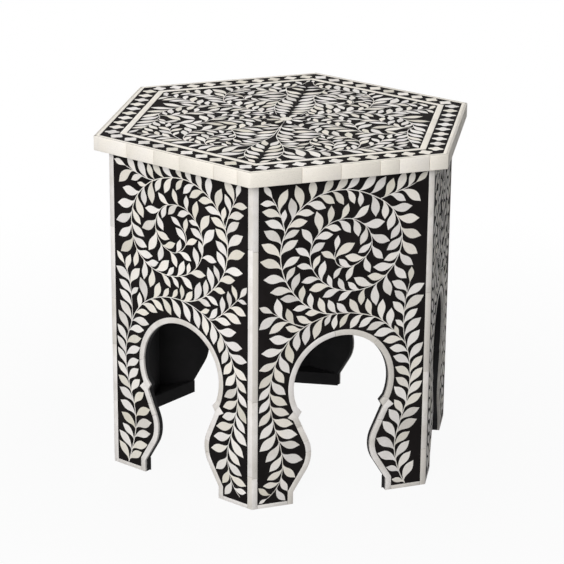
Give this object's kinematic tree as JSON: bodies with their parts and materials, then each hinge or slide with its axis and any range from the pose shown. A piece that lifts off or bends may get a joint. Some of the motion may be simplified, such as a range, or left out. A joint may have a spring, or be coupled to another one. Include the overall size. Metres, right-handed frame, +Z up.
{
  "type": "hexagonal bone inlay stool",
  "caption": "Hexagonal side stool with a keyhole arch in every side, bone strips and borders on a dark ground, and an overhanging six-sided top.",
  "frame": {"origin": "on the floor, under the middle of the stool", "axes": "+Z up, the front panel faces -Y, +X to the right and the widest way across"},
  "size_m": [0.52, 0.4504, 0.45],
  "materials": {
    "carcass_wood": "black stained and lacquered, satin",
    "resin_ground": "dark filled resin, sanded and waxed, satin",
    "bone_strip": "bone, sanded flush and waxed, satin",
    "bone_inlay": "bone, sanded flush and waxed, satin"
  },
  "bodies": {
    "root": {"top_core": "carcass_wood", "top_border_ground": "resin_ground", "top_border_stars": "bone_inlay", "top_edge_strip": "bone_strip", "top_inner_strip": "bone_strip", "top_field_ground": "resin_ground", "top_rosette": "bone_inlay", "front_panel_board": "carcass_wood", "front_ground": "resin_ground", "front_arch_border": "bone_strip", "front_cleat": "carcass_wood", "front_edge_tiles": "bone_strip", "front_right_panel_board": "carcass_wood", "front_right_ground": "resin_ground", "front_right_arch_border": "bone_strip", "front_right_cleat": "carcass_wood", "front_right_edge_tiles": "bone_strip", "back_right_panel_board": "carcass_wood", "back_right_ground": "resin_ground", "back_right_arch_border": "bone_strip", "back_right_cleat": "carcass_wood", "back_right_edge_tiles": "bone_strip", "back_panel_board": "carcass_wood", "back_ground": "resin_ground", "back_arch_border": "bone_strip", "back_cleat": "carcass_wood", "back_edge_tiles": "bone_strip", "back_left_panel_board": "carcass_wood", "back_left_ground": "resin_ground", "back_left_arch_border": "bone_strip", "back_left_cleat": "carcass_wood", "back_left_edge_tiles": "bone_strip", "front_left_panel_board": "carcass_wood", "front_left_ground": "resin_ground", "front_left_arch_border": "bone_strip", "front_left_cleat": "carcass_wood", "front_left_edge_tiles": "bone_strip", "corner_strip_1": "bone_strip", "foot_block_1": "carcass_wood", "corner_strip_2": "bone_strip", "foot_block_2": "carcass_wood", "corner_strip_3": "bone_strip", "foot_block_3": "carcass_wood", "corner_strip_4": "bone_strip", "foot_block_4": "carcass_wood", "corner_strip_5": "bone_strip", "foot_block_5": "carcass_wood", "corner_strip_6": "bone_strip", "foot_block_6": "carcass_wood"}
  },
  "joints": []
}
